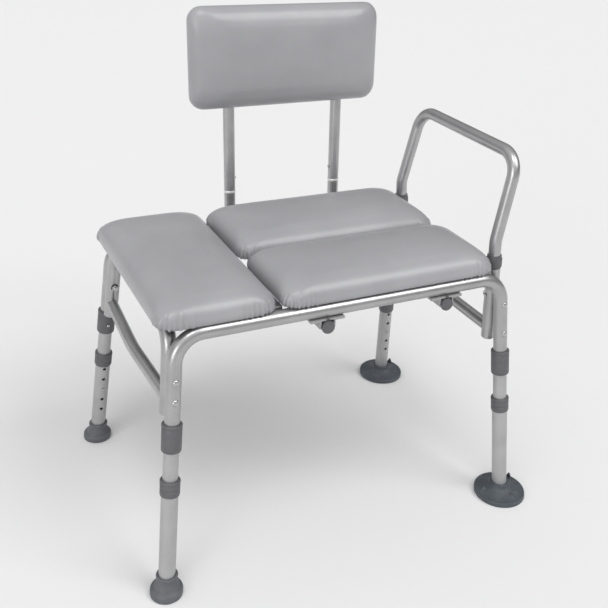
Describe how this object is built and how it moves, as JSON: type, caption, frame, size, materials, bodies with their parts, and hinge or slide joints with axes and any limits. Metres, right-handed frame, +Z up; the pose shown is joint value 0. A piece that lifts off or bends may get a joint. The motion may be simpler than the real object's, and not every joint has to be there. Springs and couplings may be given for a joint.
{
  "type": "bath transfer bench",
  "caption": "Padded bath transfer bench with splayed height-adjustable tube legs, suction cups on one side, a lift-out armrest and a lift-off backrest.",
  "frame": {"origin": "on the floor, at the middle of the bounding box", "axes": "+Z up; +X towards the side with the armrest and suction cups; +Y towards the backrest"},
  "size_m": [0.7718, 0.578, 0.8756],
  "materials": {
    "frame_aluminium": "satin anodised",
    "leg_aluminium": "matt anodised",
    "snap_button_steel": "bright",
    "collar_plastic": "moulded",
    "foot_rubber": "matt",
    "vinyl": "semi-gloss coated vinyl",
    "board": "dark stained"
  },
  "bodies": {
    "frame": {"arm_collar_back": "collar_plastic", "arm_collar_front": "collar_plastic", "arm_socket_back": "frame_aluminium", "arm_socket_front": "frame_aluminium", "back_frame_tube": "frame_aluminium", "back_seat_board": "board", "back_seat_cushion": "vinyl", "backrest_bracket_left": "frame_aluminium", "backrest_bracket_right": "frame_aluminium", "backrest_lower_tube_left": "frame_aluminium", "backrest_lower_tube_right": "frame_aluminium", "front_frame_tube": "frame_aluminium", "front_seat_board": "board", "front_seat_cushion": "vinyl", "inner_leg_tube_back_left": "leg_aluminium", "inner_leg_tube_back_right": "leg_aluminium", "inner_leg_tube_front_left": "leg_aluminium", "inner_leg_tube_front_right": "leg_aluminium", "left_lower_brace": "frame_aluminium", "left_side_frame": "frame_aluminium", "right_lower_brace": "frame_aluminium", "seat_cross_bar_left": "frame_aluminium", "seat_cross_bar_right": "frame_aluminium", "transfer_seat_board": "board", "transfer_seat_cushion": "vinyl", "tube_plug_left": "collar_plastic", "tube_plug_right": "collar_plastic", "upper_collar_back_left": "collar_plastic", "upper_collar_back_right": "collar_plastic", "upper_collar_front_left": "collar_plastic", "upper_collar_front_right": "collar_plastic"},
    "leg_front_left": {"lower_leg_tube_front_left": "leg_aluminium", "lower_collar_front_left": "collar_plastic", "rubber_tip_front_left": "foot_rubber"},
    "leg_front_right": {"lower_leg_tube_front_right": "leg_aluminium", "lower_collar_front_right": "collar_plastic", "suction_cup_front_right": "foot_rubber"},
    "leg_back_left": {"lower_leg_tube_back_left": "leg_aluminium", "lower_collar_back_left": "collar_plastic", "rubber_tip_back_left": "foot_rubber"},
    "leg_back_right": {"lower_leg_tube_back_right": "leg_aluminium", "lower_collar_back_right": "collar_plastic", "suction_cup_back_right": "foot_rubber"},
    "height_button_front_left": {"height_button_front_left": "snap_button_steel"},
    "collar_button_front_left": {"collar_button_front_left": "snap_button_steel"},
    "height_button_front_right": {"height_button_front_right": "snap_button_steel"},
    "collar_button_front_right": {"collar_button_front_right": "snap_button_steel"},
    "height_button_back_left": {"height_button_back_left": "snap_button_steel"},
    "collar_button_back_left": {"collar_button_back_left": "snap_button_steel"},
    "height_button_back_right": {"height_button_back_right": "snap_button_steel"},
    "collar_button_back_right": {"collar_button_back_right": "snap_button_steel"},
    "armrest": {"armrest_tube": "frame_aluminium"},
    "arm_button_front": {"arm_button_front": "snap_button_steel"},
    "arm_button_back": {"arm_button_back": "snap_button_steel"},
    "backrest": {"backrest_post_left": "frame_aluminium", "backrest_post_right": "frame_aluminium", "backrest_board": "board", "backrest_cushion": "vinyl"},
    "backrest_button_left": {"backrest_button_left": "snap_button_steel"},
    "backrest_button_right": {"backrest_button_right": "snap_button_steel"}
  },
  "joints": [
    {"name": "leg_height_front_left", "type": "slide", "parent": "frame", "child": "leg_front_left", "axis": [-0.0877, -0.1155, -0.9894], "range_m": [-0.0508, 0.0508]},
    {"name": "leg_height_front_right", "type": "slide", "parent": "frame", "child": "leg_front_right", "axis": [0.0877, -0.1155, -0.9894], "range_m": [-0.0508, 0.0508]},
    {"name": "leg_height_back_left", "type": "slide", "parent": "frame", "child": "leg_back_left", "axis": [-0.0877, 0.1155, -0.9894], "range_m": [-0.0508, 0.0508]},
    {"name": "leg_height_back_right", "type": "slide", "parent": "frame", "child": "leg_back_right", "axis": [0.0877, 0.1155, -0.9894], "range_m": [-0.0508, 0.0508]},
    {"name": "height_button_press_front_left", "type": "slide", "parent": "leg_front_left", "child": "height_button_front_left", "axis": [0.0102, -0.9933, 0.1151], "range_m": [0, 0.0022], "stiffness_N_per_m": 1500, "springref_m": -0.003},
    {"name": "collar_button_press_front_left", "type": "slide", "parent": "frame", "child": "collar_button_front_left", "axis": [0.0102, -0.9933, 0.1151], "range_m": [0, 0.0022], "stiffness_N_per_m": 1500, "springref_m": -0.003},
    {"name": "height_button_press_front_right", "type": "slide", "parent": "leg_front_right", "child": "height_button_front_right", "axis": [-0.0102, -0.9933, 0.1151], "range_m": [0, 0.0022], "stiffness_N_per_m": 1500, "springref_m": -0.003},
    {"name": "collar_button_press_front_right", "type": "slide", "parent": "frame", "child": "collar_button_front_right", "axis": [-0.0102, -0.9933, 0.1151], "range_m": [0, 0.0022], "stiffness_N_per_m": 1500, "springref_m": -0.003},
    {"name": "height_button_press_back_left", "type": "slide", "parent": "leg_back_left", "child": "height_button_back_left", "axis": [0.0102, 0.9933, 0.1151], "range_m": [0, 0.0022], "stiffness_N_per_m": 1500, "springref_m": -0.003},
    {"name": "collar_button_press_back_left", "type": "slide", "parent": "frame", "child": "collar_button_back_left", "axis": [0.0102, 0.9933, 0.1151], "range_m": [0, 0.0022], "stiffness_N_per_m": 1500, "springref_m": -0.003},
    {"name": "height_button_press_back_right", "type": "slide", "parent": "leg_back_right", "child": "height_button_back_right", "axis": [-0.0102, 0.9933, 0.1151], "range_m": [0, 0.0022], "stiffness_N_per_m": 1500, "springref_m": -0.003},
    {"name": "collar_button_press_back_right", "type": "slide", "parent": "frame", "child": "collar_button_back_right", "axis": [-0.0102, 0.9933, 0.1151], "range_m": [0, 0.0022], "stiffness_N_per_m": 1500, "springref_m": -0.003},
    {"name": "armrest_lift", "type": "slide", "parent": "frame", "child": "armrest", "axis": [-0.0883, 0, 0.9961], "range_m": [0, 0.16]},
    {"name": "arm_button_press_front", "type": "slide", "parent": "frame", "child": "arm_button_front", "axis": [0.9961, 0, 0.0883], "range_m": [0, 0.0022], "stiffness_N_per_m": 1500, "springref_m": -0.003},
    {"name": "arm_button_press_back", "type": "slide", "parent": "frame", "child": "arm_button_back", "axis": [0.9961, 0, 0.0883], "range_m": [0, 0.0022], "stiffness_N_per_m": 1500, "springref_m": -0.003},
    {"name": "backrest_lift", "type": "slide", "parent": "frame", "child": "backrest", "axis": [0, 0.0698, 0.9976], "range_m": [0, 0.09]},
    {"name": "backrest_button_press_left", "type": "slide", "parent": "backrest", "child": "backrest_button_left", "axis": [-1, 0, 0], "range_m": [0, 0.0022], "stiffness_N_per_m": 1500, "springref_m": -0.003},
    {"name": "backrest_button_press_right", "type": "slide", "parent": "backrest", "child": "backrest_button_right", "axis": [1, 0, 0], "range_m": [0, 0.0022], "stiffness_N_per_m": 1500, "springref_m": -0.003}
  ]
}
